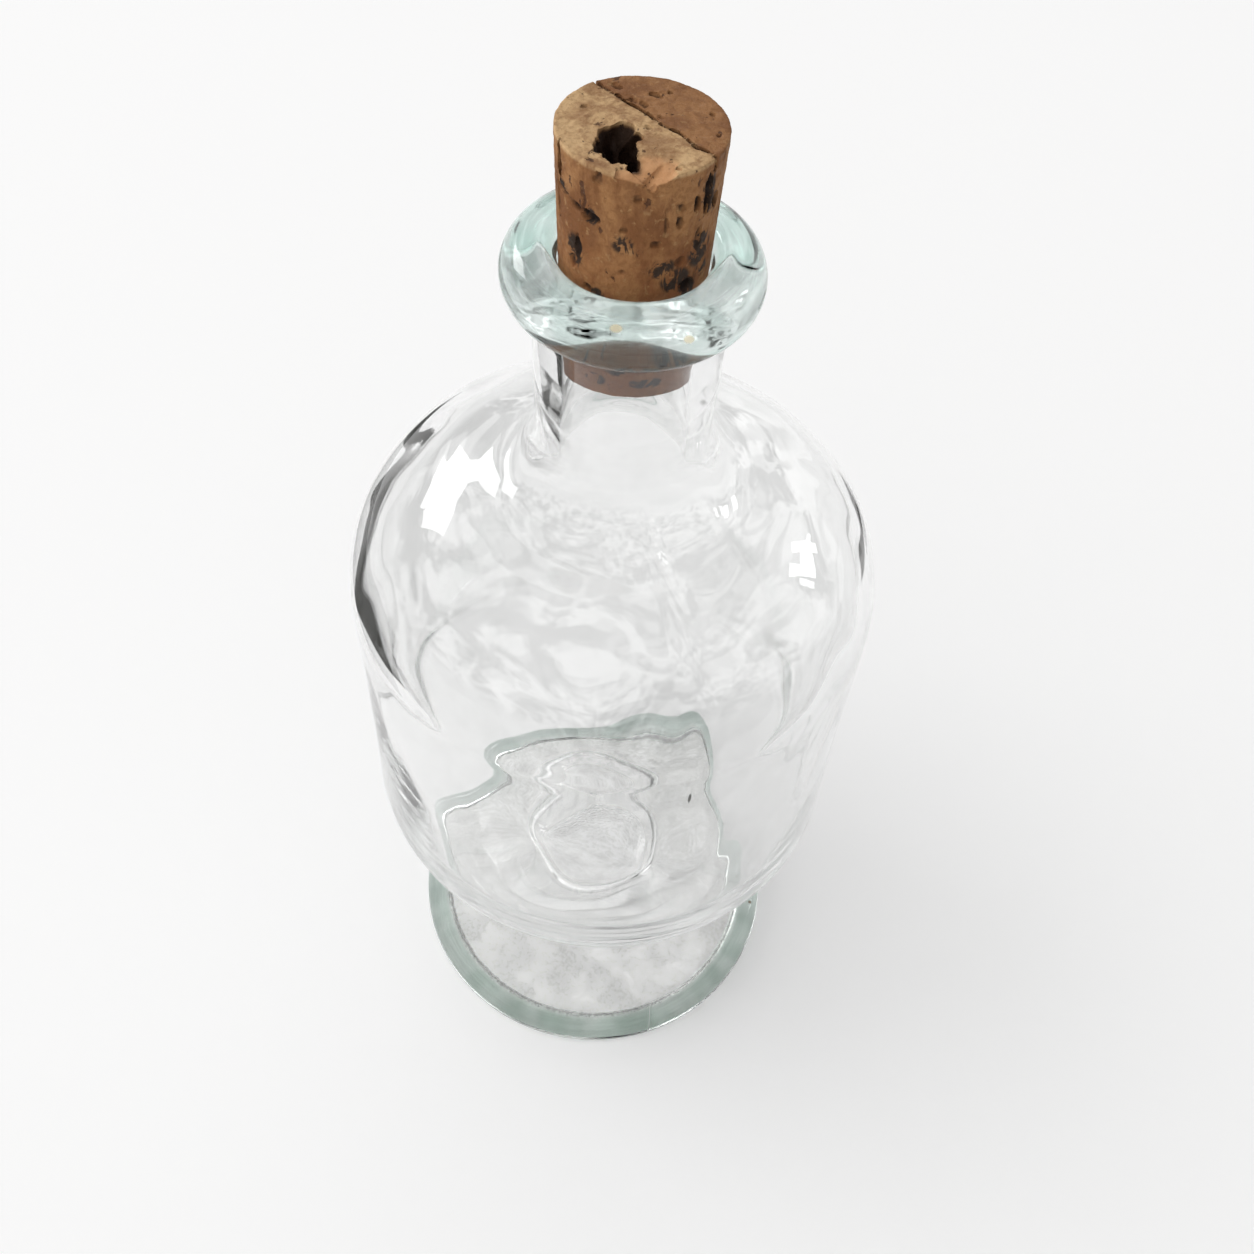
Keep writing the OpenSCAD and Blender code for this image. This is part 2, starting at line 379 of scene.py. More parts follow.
def make_bottle():
    """The glass: an outer shell and an inner one, each spun from its outline and made a little uneven."""
    outer = draw_outline("bottle_outer", outside_outline())
    spin_round(outer)
    close_shell(outer)
    weigh(outer, "outer_waves", outer_unevenness)
    wave(outer, "outer_waves", 26, 0.7, 1.0, stretch=(1, 1, 1.6), shift=(7, 3, 5))
    wave(outer, "outer_waves", 9, 0.18, 1.0, stretch=(1, 1, 2.2), shift=(2, 9, 1))

    inner = draw_outline("bottle_inner", inside_outline())
    spin_round(inner)
    close_shell(inner)
    weigh(inner, "inner_waves", inner_unevenness)
    wave(inner, "inner_waves", 22, 2.0, 0.5, stretch=(1, 1, 1.8), shift=(-4, 6, 2))
    wave(inner, "inner_waves", 14, 0.45, 0.5, stretch=(1, 1, 2.4), shift=(5, -3, 8))
    weigh(inner, "upright_fold", upright_fold)
    finish_with(
        inner, "DISPLACE", vertex_group="upright_fold",
        strength=FOLD_DEPTH * MM, mid_level=0.0, direction="NORMAL",
    )

    bottle = join([outer, inner], "bottle_glass")
    close_shell(bottle)
    make_active(bottle)
    bpy.ops.object.shade_smooth()
    return bottle


# The cork

def cork_at(z):
    return bore_at(z) - CORK_GAP


def place_on_side(azimuth, below_top, out=0.0):
    """A point on the cork's side, in millimetres; azimuth is counted from +X."""
    z = CORK_TOP - below_top
    r = cork_at(z) + out
    return Vector((r * math.cos(math.radians(azimuth)), r * math.sin(math.radians(azimuth)), z))


def add_lump(place, size, turn, roughness, seed):
    """An uneven lump, used to cut away cork. Place and size are in millimetres."""
    bpy.ops.mesh.primitive_ico_sphere_add(subdivisions=3, radius=1, location=place * MM, rotation=turn)
    lump = bpy.context.object
    lump.scale = [s * MM for s in size]
    for vertex in lump.data.vertices:
        bump = noise.noise(vertex.co * 1.7 + Vector((seed * 3.1, seed * 1.7, seed)))
        vertex.co *= 1 + roughness * bump
    settle_in_mesh(lump)
    return lump


def add_flake(place, size, turn):
    """A block whose uneven underside breaks a flat flake off; place is the middle of the break."""
    bpy.ops.mesh.primitive_cube_add(size=1)
    flake = bpy.context.object
    flake.scale = size
    settle_in_mesh(flake)
    edit(flake)
    bpy.ops.mesh.select_all(action="SELECT")
    bpy.ops.mesh.subdivide(number_cuts=9)
    leave_edit()
    for vertex in flake.data.vertices:
        vertex.co.z += size[2] / 2
        vertex.co += 0.16 * noise.noise_vector(vertex.co * 0.9 + place)
    flake.rotation_euler = turn
    flake.scale = (MM, MM, MM)
    flake.location = place * MM
    settle_in_mesh(flake)
    return flake


# Pits in the side: azimuth, depth below the top, width, height, depth
SIDE_PITS = [
    (-155, 2.6, 0.45, 2.0, 0.9), (-158, 8.6, 0.35, 1.6, 0.5), (-151, 6.0, 1.6, 0.3, 0.6),
    (-137, 6.6, 1.5, 0.35, 0.7), (-122, 6.9, 1.0, 0.65, 0.9), (-117, 1.5, 0.5, 0.8, 0.5),
    (-81, 1.4, 0.35, 0.6, 0.6), (-90, 3.1, 0.4, 0.4, 0.5), (-60, 4.8, 0.5, 0.6, 0.6),
    (-60, 6.9, 0.45, 0.7, 0.6), (-98, 7.6, 0.45, 0.4, 0.4), (-76, 9.4, 0.6, 0.4, 0.5),
    (-37, 4.4, 0.55, 2.4, 1.2), (-47, 5.0, 0.4, 1.0, 0.8), (-27, 6.2, 0.45, 0.9, 0.8),
    (-42, 10.6, 0.4, 1.6, 0.5), (-47, 16.6, 0.9, 0.8, 0.9), (-56, 12.6, 0.5, 0.6, 0.5),
    (-133, 12.2, 0.4, 1.6, 0.5), (-139, 14.8, 0.4, 0.8, 0.5), (-125, 17.4, 0.5, 0.5, 0.6),
    (-98, 13.6, 0.3, 0.3, 0.4), (-70, 6.6, 0.18, 1.6, 0.4),
    (-12, 9, 0.5, 1.4, 0.7), (8, 3.5, 0.6, 1.0, 0.8), (27, 14, 0.5, 1.2, 0.7), (41, 7, 0.7, 1.6, 0.9),
    (66, 2.6, 0.5, 0.7, 0.6), (78, 11.5, 0.6, 1.4, 0.8), (97, 6, 0.5, 1.1, 0.7),
    (118, 16, 0.7, 1.3, 0.9), (129, 4, 0.6, 1.2, 0.7), (148, 10, 0.5, 1.7, 0.7),
    (166, 2.4, 0.5, 0.8, 0.6), (175, 15, 0.6, 1.2, 0.8),
]
# Pits in the top: distance from the axis, angle, length, width, depth
TOP_PITS = [
    (8.2, 114, 0.9, 0.45, 0.6), (6.3, 78, 0.9, 0.5, 0.7), (4.9, 105, 0.7, 0.5, 0.6),
    (4.0, 89, 0.7, 0.45, 0.6), (0.9, -38, 0.55, 0.35, 0.5), (7.5, 66, 0.4, 0.35, 0.5),
    (7.3, -32, 0.7, 0.3, 0.5), (8.6, 20, 0.4, 0.35, 0.5), (7.4, 158, 0.35, 0.5, 0.5),
    (9.2, -62, 0.4, 0.3, 0.5), (2.6, 40, 0.6, 0.2, 0.4), (8.9, -8, 0.3, 0.25, 0.4),
]


def make_cork_cutters():
    """What has broken out of the cork: the hole, the chip beside it and the pits."""
    draw = random.Random(7)
    lumps = []
    top = CORK_TOP
    # The hole: lumps of cork gone one beside the other, deepest in the middle
    for x, y, wide, deep in (
        (-3.3, -3.0, 1.9, 5.6), (-2.1, -4.6, 2.0, 8.0), (-3.6, -5.4, 1.7, 7.4), (-1.6, -6.6, 1.5, 6.4),
        (-2.4, -1.4, 1.6, 4.6), (-1.4, -3.0, 1.5, 6.0), (-2.9, -6.8, 1.2, 4.6), (-4.4, -4.0, 1.0, 4.2),
        (-0.9, -7.6, 0.9, 3.4),
    ):
        turn = (draw.uniform(-0.25, 0.25), draw.uniform(-0.25, 0.25), draw.uniform(0, 3))
        size = (wide, wide * draw.uniform(0.8, 1.1), deep)
        lumps.append(add_lump(Vector((x, y, top)), size, turn, 0.55, draw.random() * 9))
    # The chip: flat breaks from the hole's edge down to the rim
    lumps.append(add_flake(Vector((1.9, -6.9, top - 0.35)), (4.6, 6.4, 3.0), (0.24, 0.06, -0.45)))
    lumps.append(add_flake(Vector((2.9, -9.6, top - 0.9)), (3.6, 3.4, 3.0), (0.42, -0.20, -0.75)))
    lumps.append(add_flake(Vector((-0.9, -9.6, top - 0.7)), (3.4, 2.6, 3.0), (0.50, 0.16, -0.15)))
    for distance, azimuth, length, width, depth in TOP_PITS:
        a = math.radians(azimuth)
        place = Vector((distance * math.cos(a), distance * math.sin(a), top))
        turn = (0, 0, math.radians(-45 + draw.uniform(-20, 20)))
        lumps.append(add_lump(place, (length, width, depth), turn, 0.5, draw.random() * 9))
    for azimuth, down, width, height, depth in SIDE_PITS:
        turn = (0, draw.uniform(-0.15, 0.15), math.radians(azimuth))
        size = (1.25 * depth, 1.3 * width, 1.25 * height)
        place = place_on_side(azimuth, down, 0.1 * depth)
        lumps.append(add_lump(place, size, turn, 0.5, draw.random() * 9))
    return lumps


def cut_with(piece, cutters):
    for cutter in cutters:
        finish_with(piece, "BOOLEAN", operation="DIFFERENCE", solver="MANIFOLD", object=cutter)
        bpy.data.objects.remove(cutter)


# The split across the top: its turn in degrees and its distance from the axis
SPLIT_TURN = -43.5
SPLIT_OFFSET = 1.8


def add_split():
    """A thin blade along the straight split across the top, a little ragged."""
    bpy.ops.mesh.primitive_cube_add(size=1, location=(0, 0, 0))
    blade = bpy.context.object
    blade.scale = (24 * MM, 0.46 * MM, 3.6 * MM)
    settle_in_mesh(blade)
    edit(blade)
    bpy.ops.mesh.select_all(action="SELECT")
    bpy.ops.mesh.subdivide(number_cuts=5)
    bpy.ops.mesh.subdivide(number_cuts=5)
    leave_edit()
    for vertex in blade.data.vertices:
        x, y, z = vertex.co / MM
        broad_bend = 0.28 * noise.noise(Vector((x * 0.35, 4.0, 1.0)))
        fine_bend = 0.12 * noise.noise(Vector((x * 1.6, z, 3.0)))
        width = 1 + 0.9 * noise.noise(Vector((x * 0.8, 0.0, 7.0)))
        vertex.co = Vector((x, y * max(0.3, width) + broad_bend + fine_bend, z)) * MM
    turn = math.radians(SPLIT_TURN)
    middle = Vector((SPLIT_OFFSET * math.sin(-turn), SPLIT_OFFSET * math.cos(turn), CORK_TOP)) * MM
    blade.data.transform(Matrix.Translation(middle) @ Matrix.Rotation(turn, 4, "Z"))
    return blade


def make_cork():
    """The cork: a tapered cylinder with all that has broken out of it, then a fine grain."""
    low_r = cork_at(CORK_BOTTOM) - CORK_INSET
    high_r = cork_at(CORK_TOP) - CORK_INSET
    middle = (CORK_BOTTOM + CORK_TOP) / 2
    height = CORK_LEN - 2 * CORK_INSET
    bpy.ops.mesh.primitive_cone_add(
        vertices=160, radius1=low_r * MM, radius2=high_r * MM,
        depth=height * MM, location=(0, 0, middle * MM),
    )
    cork = bpy.context.object
    cork.name = "cork_stopper"
    cork.data.name = "cork_stopper"
    settle_in_mesh(cork)
    edit(cork)
    bpy.ops.mesh.select_all(action="SELECT")
    bpy.ops.mesh.bevel(offset=CORK_BEVEL * 0.6 * MM, segments=2)
    bpy.ops.mesh.normals_make_consistent(inside=False)
    leave_edit()
    cut_with(cork, make_cork_cutters())
    cut_with(cork, [add_split()])
    make_active(cork)
    cork.data.remesh_voxel_size = 0.22 * MM
    bpy.ops.object.voxel_remesh()
    grain = cloud_texture("cork_grain", 1.1, depth=2)
    finish_with(
        cork, "DISPLACE", texture=grain, texture_coords="LOCAL",
        strength=0.22 * MM, mid_level=0.9, direction="NORMAL",
    )
    bpy.ops.object.shade_smooth()
    stain_cork(cork)
    cork.data.materials.clear()
    return cork


# Dark stains: azimuth, depth below the top, half width in degrees, half height, strength
SIDE_STAINS = [
    (-70, 13.0, 9, 1.3, 0.75), (-58, 15.2, 10, 1.4, 0.9), (-38, 12.0, 10, 2.2, 0.85),
    (-33, 15.6, 8, 1.4, 0.6), (-47, 17.2, 7, 1.2, 0.9), (-98, 9.6, 8, 1.3, 0.6),
    (-88, 10.4, 6, 0.8, 0.5), (-137, 13.0, 8, 2.2, 0.7), (-150, 5.5, 8, 0.8, 0.6),
    (-122, 6.9, 5, 0.9, 0.9), (-37, 4.6, 6, 2.6, 0.9), (-28, 6.4, 4, 1.4, 0.7),
    (-116, 17.6, 6, 0.8, 0.6), (30, 10, 14, 3.0, 0.6), (95, 14, 12, 3.0, 0.7),
    (160, 8, 14, 2.4, 0.6), (60, 5, 8, 1.4, 0.6), (128, 6, 7, 2.0, 0.7),
    (-108, 21.5, 9, 0.9, 0.8), (-84, 23.0, 16, 1.0, 0.9), (-62, 25.5, 12, 1.5, 0.8),
    (-120, 25.0, 7, 1.6, 0.7), (-96, 27.5, 9, 1.2, 0.8), (-48, 22.0, 10, 1.8, 0.8),
    (-76, 30.0, 12, 0.8, 0.7), (-112, 30.0, 7, 0.9, 0.7),
]


def stain_cork(cork):
    """Three attributes: how deep in a hollow a point lies, which sets the painted shade there, how stained
    it is, and how fresh a break.
    """
    hollow = cork.data.attributes.new("hollow", "FLOAT", "POINT")
    stain = cork.data.attributes.new("stain", "FLOAT", "POINT")
    fresh = cork.data.attributes.new("fresh", "FLOAT", "POINT")
    for vertex in cork.data.vertices:
        x, y, z = vertex.co / MM
        r = math.hypot(x, y)
        side = cork_at(z) - r
        top = CORK_TOP - z
        depth = min(side, top, z - CORK_BOTTOM)
        beside_hole = smooth_step(-0.7, 0.1, x + 0.05 * y) * smooth_step(-1.5, -2.6, y)
        beside_hole *= smooth_step(5.4, 4.4, x)
        at_rim = smooth_step(-8.2, -8.8, y) * smooth_step(-4.5, -3.0, x)
        broken = max(beside_hole, at_rim) * smooth_step(2.8, 2.2, top) * smooth_step(0.22, 0.4, depth)
        # Painted shade: the deeper a point lies in a pit, the darker it is painted; fresh breaks get none.
        hollow.data[vertex.index].value = smooth_step(0.30, 0.85, depth) * (1 - broken)
        fresh.data[vertex.index].value = broken
        azimuth = math.degrees(math.atan2(y, x))
        dark = 0.0
        if side < 1.2:
            for place, down, wide, tall, strength in SIDE_STAINS:
                off = ((azimuth - place + 180) % 360 - 180) / (1.15 * wide)
                away = off * off + ((top - down) / (1.15 * tall)) ** 2
                dark = max(dark, strength * math.exp(-away))
        stain.data[vertex.index].value = dark


# Materials

def new_material(name):
    material = bpy.data.materials.new(name)
    material.use_nodes = True
    return material, material.node_tree


class Nodes:
    """Short ways to add and link nodes in one tree."""

    def __init__(self, tree):
        self.tree = tree

    def add(self, kind, links=None, **settings):
        node = self.tree.nodes.new(kind)
        for name, value in settings.items():
            setattr(node, name, value)
        for socket, value in (links or {}).items():
            self.put(node.inputs[socket], value)
        return node

    def put(self, socket, value):
        if isinstance(value, bpy.types.NodeSocket):
            self.tree.links.new(value, socket)
        else:
            socket.default_value = value

    def math(self, operation, a, b):
        node = self.add("ShaderNodeMath", operation=operation)
        self.put(node.inputs[0], a)
        self.put(node.inputs[1], b)
        return node.outputs[0]

    def mix(self, factor, a, b):
        node = self.add("ShaderNodeMix", data_type="RGBA", blend_type="MIX")
        self.put(node.inputs["Factor"], factor)
        self.put(node.inputs[6], a)
        self.put(node.inputs[7], b)
        return node.outputs[2]

    def times(self, *values):
        """The product of two or more values."""
        product = values[0]
        for value in values[1:]:
            product = self.math("MULTIPLY", product, value)
        return product

    def length(self, vector):
        away = self.add("ShaderNodeVectorMath", operation="LENGTH")
        self.put(away.inputs[0], vector)
        return away.outputs["Value"]

    def xyz(self, vector):
        return self.add("ShaderNodeSeparateXYZ", {"Vector": vector}).outputs

    def span(self, value, low, high, out_low=0.0, out_high=1.0):
        """Runs softly from one result to the other while the value goes from low to high."""
        node = self.add("ShaderNodeMapRange", {
            "Value": value, "From Min": low, "From Max": high, "To Min": out_low, "To Max": out_high,
        })
        node.interpolation_type = "SMOOTHSTEP"
        return node.outputs["Result"]

    def noise(self, vector, scale, detail, roughness, distortion=0.0):
        node = self.add("ShaderNodeTexNoise", {
            "Vector": vector, "Scale": scale, "Detail": detail,
            "Roughness": roughness, "Distortion": distortion,
        })
        return node.outputs["Fac"]

    def near(self, place, centre, half_size):
        """1 inside a small oval round a centre, 0 outside; centre and half sizes are in millimetres."""
        scale = [1 / (half * MM) for half in half_size]
        moved = self.add("ShaderNodeMapping", {
            "Vector": place, "Scale": scale, "Location": [-c * MM * k for c, k in zip(centre, scale)],
        }).outputs["Vector"]
        return self.span(self.length(moved), 1.2, 0.75)

    def place(self, stretch=(1, 1, 1)):
        """The place on the piece itself, in metres."""
        coordinates = self.add("ShaderNodeTexCoord").outputs["Object"]
        if stretch == (1, 1, 1):
            return coordinates
        return self.add("ShaderNodeMapping", {"Vector": coordinates, "Scale": stretch}).outputs["Vector"]


def new_group(name, inputs, outputs):
    """A node group with these sockets; gives its tree, its input node and its output node."""
    group = bpy.data.node_groups.new(name, "ShaderNodeTree")
    for title, kind, value in inputs:
        socket = group.interface.new_socket(title, in_out="INPUT", socket_type=kind)
        if value is not None:
            socket.default_value = value
    for title, kind in outputs:
        group.interface.new_socket(title, in_out="OUTPUT", socket_type=kind)
    return group, group.nodes.new("NodeGroupInput"), group.nodes.new("NodeGroupOutput")


def make_blotches_group():
    """Soft uneven patches: a mask from 0 to 1 of a chosen size and share, and the height under it."""
    group, given, result = new_group(
        "blotches",
        [("Vector", "NodeSocketVector", None), ("Scale", "NodeSocketFloat", 100.0),
         ("Share", "NodeSocketFloat", 0.5), ("Softness", "NodeSocketFloat", 0.1)],
        [("Mask", "NodeSocketFloat"), ("Height", "NodeSocketFloat")],
    )
    n = Nodes(group)
    pattern = n.noise(given.outputs["Vector"], given.outputs["Scale"], 4.0, 0.6, 0.4)
    edge = n.math("SUBTRACT", 1.0, given.outputs["Share"])
    low = n.math("SUBTRACT", edge, given.outputs["Softness"])
    high = n.math("ADD", edge, given.outputs["Softness"])
    mask = n.span(pattern, low, high)
    group.links.new(mask, result.inputs["Mask"])
    group.links.new(pattern, result.inputs["Height"])
    return group


def place_group(n, group, **values):
    node = n.add("ShaderNodeGroup", node_tree=group)
    for name, value in values.items():
        n.put(node.inputs[name], value)
    return node


# Small marks in the glass: middle, half size, colour, how frosted. They are a dark sliver in the belly,
# a dark speck on the foot, two yellowish specks on the lip and a white hairline across the foot's ring.
GLASS_MARKS = [
    ((13.5, -41.4, 118.0), (0.28, 0.9, 1.5), (0.02, 0.018, 0.015, 1), 0.4),
    ((37.6, -5.8, 4.4), (0.45, 0.4, 0.5), (0.10, 0.06, 0.03, 1), 0.4),
    ((-1.6, -15.5, 184.7), (0.8, 0.55, 0.5), (0.80, 0.68, 0.36, 1), 0.3),
    ((7.3, -15.1, 183.4), (0.8, 0.5, 0.5), (0.78, 0.70, 0.42, 1), 0.3),
    ((14.5, -35.8, 3.4), (0.14, 3.2, 3.2), (1, 1, 1, 1), 0.9),
]


def make_glass():
    """Clear glass: greener in the foot's ring and the lip, the ring painted darker towards the front as
    painted shade, brushed on the web between, wavy all over.
    """
    material, tree = new_material("clear_glass")
    n = Nodes(tree)
    shader = tree.nodes["Principled BSDF"]
    shader.inputs["Transmission Weight"].default_value = 1.0
    shader.inputs["IOR"].default_value = 1.5
    shader.inputs["Metallic"].default_value = 0.0
    place = n.place()
    upright = n.place((1, 1, 0.35))
    x, y, z = n.xyz(place)
    radius = n.math("POWER", n.math("ADD", n.times(x, x), n.times(y, y)), 0.5)
    lip_low = TOP_Z - LIP_H
    on_web = n.times(
        n.span(z, (BEAD_H + 0.7) * MM, BEAD_H * MM),
        n.span(radius, (FOOT_R - 3.6) * MM, (FOOT_R - 5.4) * MM),
    )
    on_ring = n.times(
        n.span(z, (BEAD_H + 1.4) * MM, (BEAD_H + 0.2) * MM),
        n.span(radius, (FOOT_R - 6.0) * MM, (FOOT_R - 4.0) * MM),
    )
    on_lip = n.times(
        n.span(z, (lip_low - 2.7) * MM, (lip_low - 0.7) * MM),
        n.span(radius, (BORE_R + 0.2) * MM, (BORE_R + 1.0) * MM),
    )

    patches = n.noise(place, 150.0, 1.0, 0.6)
    cloud = n.span(patches, 0.38, 0.62, 0.7, 1.0)
    clear = n.mix(n.span(patches, 0.45, 0.65), (0.955, 0.957, 0.955, 1), (0.932, 0.935, 0.932, 1))
    # Painted shade: the ring's green is painted darker towards the front.
    deep = n.mix(n.span(y, 0.015, -0.032), (0.78, 0.870, 0.830, 1), (0.50, 0.590, 0.540, 1))
    green = n.mix(n.times(on_ring, cloud), clear, deep)
    aqua = n.mix(n.times(on_lip, cloud), green, (0.53, 0.715, 0.660, 1))
    brushed = n.noise(place, 1100.0, 2.0, 0.7)
    web = n.mix(n.span(brushed, 0.60, 0.42), (1, 1, 1, 1), (0.82, 0.825, 0.810, 1))
    web = n.mix(n.span(patches, 0.58, 0.38, 0.0, 0.45), web, (0.80, 0.80, 0.785, 1))
    colour = n.mix(on_web, aqua, web)
    rough = n.span(patches, 0.45, 0.65, 0.0, 0.003)
    for mask, roughness in ((on_web, 0.24), (on_lip, 0.09), (on_ring, 0.06)):
        rough = n.math("ADD", rough, n.times(mask, roughness))
    for middle, half_size, tone, frosted in GLASS_MARKS:
        mark = n.near(place, middle, half_size)
        colour = n.mix(mark, colour, tone)
        rough = n.math("ADD", rough, n.times(mark, frosted))
    n.put(shader.inputs["Base Color"], colour)
    n.put(shader.inputs["Roughness"], rough)
    ripple = n.noise(upright, 95.0, 1.0, 0.5)
    height = n.math("ADD", n.times(ripple, 0.24), n.times(brushed, on_web))
    bump = n.add("ShaderNodeBump", {"Height": height, "Strength": 0.5, "Distance": 0.0004})
    n.put(shader.inputs["Normal"], bump.outputs["Normal"])
    return material


def make_cork_finish(blotches):
    """Natural cork: tan, mottled, with darker pores, painted shade in the hollows and grey stains."""
    material, tree = new_material("natural_cork")
    n = Nodes(tree)
    shader = tree.nodes["Principled BSDF"]
    shader.inputs["Specular IOR Level"].default_value = 0.25
    place = n.place()
    grain = n.place((1, 1, 0.5))
    broad = place_group(n, blotches, Vector=grain, Scale=190.0, Share=0.5, Softness=0.09)
    middle = place_group(n, blotches, Vector=grain, Scale=480.0, Share=0.42, Softness=0.06)
    fine = place_group(n, blotches, Vector=place, Scale=1300.0, Share=0.45, Softness=0.10)
    flecks = place_group(n, blotches, Vector=place, Scale=820.0, Share=0.36, Softness=0.04)
    pores = place_group(n, blotches, Vector=grain, Scale=600.0, Share=0.345, Softness=0.02)
    x, y, z = n.xyz(place)
    # The distance from the axis at right angles to the split
    across = n.math("ADD", n.times(x, 0.686), n.times(y, 0.728))
    on_top = n.span(z, (CORK_TOP - 0.9) * MM, (CORK_TOP - 0.35) * MM)
    before_split = n.span(across, 2.2 * MM, 1.5 * MM)
    low = n.span(z, 0.196, 0.180)

    tan = n.mix(broad.outputs["Mask"], (0.205, 0.083, 0.028, 1), (0.355, 0.172, 0.066, 1))
    pale = n.times(on_top, before_split, n.span(broad.outputs["Height"], 0.40, 0.58, 0.35, 0.85))
    brown = n.times(on_top, n.math("SUBTRACT", 1.0, before_split), 0.35)
    fresh = n.add("ShaderNodeAttribute", attribute_name="fresh").outputs["Fac"]
    stain = n.add("ShaderNodeAttribute", attribute_name="stain").outputs["Fac"]
    hollow = n.add("ShaderNodeAttribute", attribute_name="hollow").outputs["Fac"]
    ragged = n.noise(grain, 700.0, 5.0, 0.7, 0.8)
    patchy = n.times(stain, n.span(ragged, 0.40, 0.52, 0.15, 1.0))
    for share, tone in (
        (n.times(flecks.outputs["Mask"], 0.45), (0.50, 0.30, 0.135, 1)),
        (pale, (0.60, 0.40, 0.205, 1)),
        (brown, (0.24, 0.110, 0.045, 1)),
        (n.times(low, 0.45), (0.29, 0.090, 0.032, 1)),
        (n.times(middle.outputs["Mask"], 0.45), (0.20, 0.085, 0.033, 1)),
        (n.times(fine.outputs["Mask"], 0.35), (0.17, 0.075, 0.030, 1)),
        (n.times(fresh, 0.75), (0.56, 0.29, 0.135, 1)),
        (n.times(pores.outputs["Mask"], 0.80), (0.07, 0.028, 0.014, 1)),
        (n.span(patchy, 0.18, 0.42, 0, 0.95), (0.028, 0.018, 0.013, 1)),
        # painted shade in the hollows, near black
        (n.times(hollow, 0.94), (0.014, 0.007, 0.005, 1)),
    ):
        tan = n.mix(share, tan, tone)
    n.put(shader.inputs["Base Color"], tan)
    n.put(shader.inputs["Roughness"], n.span(fine.outputs["Height"], 0.3, 0.7, 0.62, 0.90))
    bumps = n.math("ADD", fine.outputs["Height"], n.times(middle.outputs["Height"], 1.5))
    height = n.math("ADD", n.times(bumps, 0.5), n.times(pores.outputs["Mask"], -0.6))
    bump = n.add("ShaderNodeBump", {"Height": height, "Strength": 0.8, "Distance": 0.0004})
    n.put(shader.inputs["Normal"], bump.outputs["Normal"])
    return material


# Studio

def seen_directly(n):
    """1 for rays from the camera, and for those that glass mirrors or lets through."""
    path = n.add("ShaderNodeLightPath")
    seen = n.math("MAXIMUM", path.outputs["Is Camera Ray"], path.outputs["Is Glossy Ray"])
    return n.math("MAXIMUM", seen, path.outputs["Is Transmission Ray"])


def make_floor():
    """A pale table, with a little even light of its own, and a painted caustic: patchy light painted on it
    under the foot.
    """
    bpy.ops.mesh.primitive_circle_add(vertices=96, radius=5.0, fill_type="NGON", location=(0, 0, -0.3 * MM))
    floor = bpy.context.object
    floor.name = "studio_floor"
    material, tree = new_material("pale_floor")
    n = Nodes(tree)
    shader = tree.nodes["Principled BSDF"]
    shader.inputs["Base Color"].default_value = (0.86, 0.86, 0.86, 1)
    shader.inputs["Roughness"].default_value = 0.9
    shader.inputs["Specular IOR Level"].default_value = 0.0
    shader.inputs["Emission Color"].default_value = (1, 1, 1, 1)
    place = n.place()
    # Painted light: a patchy glow painted on the floor under the foot, on top of the even glow.
    under_foot = n.span(n.length(place), (FOOT_R + 4) * MM, (FOOT_R - 10) * MM)
    painted_caustic = n.span(n.noise(place, 110.0, 2.0, 0.6), 0.36, 0.64, 0.22, 0.40)
    even_glow_and_painted_caustic = n.math("ADD", n.times(under_foot, painted_caustic), 0.14)
    n.put(shader.inputs["Emission Strength"], n.times(seen_directly(n), even_glow_and_painted_caustic))
    floor.data.materials.append(material)


def make_world():
    """A plain room, lighter on the left; the glass sees a white rim below an uneven ceiling."""
    world = bpy.data.worlds.new("studio")
    bpy.context.scene.world = world
    world.use_nodes = True
    n = Nodes(world.node_tree)
    background = world.node_tree.nodes["Background"]
    direction = n.add("ShaderNodeTexCoord").outputs["Generated"]
    x, y, z = n.xyz(direction)
    panels = n.noise(direction, 5.0, 2.0, 0.5, 0.9)
    up = n.span(z, 0.06, 0.30)
    rim = n.times(n.math("SUBTRACT", 1.0, up), 0.93)
    mirrored = n.math("ADD", rim, n.times(up, n.span(panels, 0.46, 0.56, 0.02, 1.5)))
    through = n.math("ADD", rim, n.times(up, n.span(panels, 0.44, 0.58, 0.15, 1.1)))
    soft = n.math("ADD", n.math("ADD", n.times(x, -0.74), n.times(y, 0.05)), 0.84)
    path = n.add("ShaderNodeLightPath")
    first = n.math("LESS_THAN", path.outputs["Diffuse Depth"], 0.5)
    looking = path.outputs["Is Camera Ray"]
    passed = n.times(path.outputs["Is Transmission Ray"], first)
    glanced = n.times(path.outputs["Is Glossy Ray"], first)
    rest = n.math("SUBTRACT", n.math("SUBTRACT", n.math("SUBTRACT", 1.0, passed), glanced), looking)
    level = n.times(looking, 0.95)
    for share, strength in ((passed, through), (glanced, mirrored), (rest, soft)):
        level = n.math("ADD", level, n.times(share, strength))
    background.inputs["Color"].default_value = (1.0, 0.998, 0.996, 1)
    n.put(background.inputs["Strength"], level)


def add_dark_card(name, low, high):
    """A dark card that lies beside the bottle, out of the picture; only the glass shows it."""
    middle = ((low[0] + high[0]) / 2, (low[1] + high[1]) / 2, 0)
    bpy.ops.mesh.primitive_plane_add(size=1, location=middle)
    card = bpy.context.object
    card.name = name
    card.scale = (high[0] - low[0], high[1] - low[1], 1)
    settle_in_mesh(card)
    material, tree = new_material(name)
    shader = tree.nodes["Principled BSDF"]
    shader.inputs["Base Color"].default_value = (0.03, 0.03, 0.026, 1)
    shader.inputs["Roughness"].default_value = 0.9
    card.data.materials.append(material)
    card.visible_camera = False
    card.visible_diffuse = False
    card.visible_shadow = False


